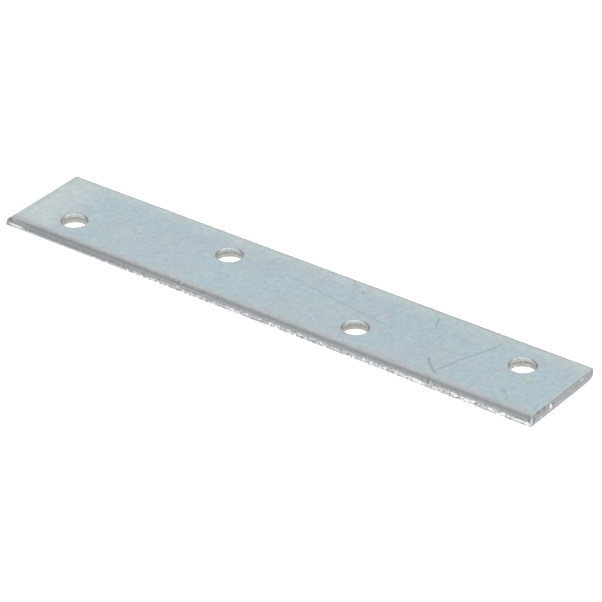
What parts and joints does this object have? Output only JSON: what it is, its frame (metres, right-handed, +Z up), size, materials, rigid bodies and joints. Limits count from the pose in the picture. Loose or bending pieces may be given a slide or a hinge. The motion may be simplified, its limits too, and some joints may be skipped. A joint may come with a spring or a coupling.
{
  "type": "mending plate",
  "caption": "Flat steel strip with square sheared ends and a zigzag row of plain punched screw holes, which joins two pieces of timber end to end.",
  "frame": {"origin": "middle of the underside", "axes": "+X along the plate, +Y across it, +Z up from the underside to the face with the rolled hole rims"},
  "size_m": [0.12, 0.02, 0.002],
  "materials": {
    "zinc_plate": "bright zinc plating with a clear-blue passivation, satin, with mottled pale blue, green and lilac tints"
  },
  "bodies": {
    "root": {"plate": "zinc_plate"}
  },
  "joints": []
}
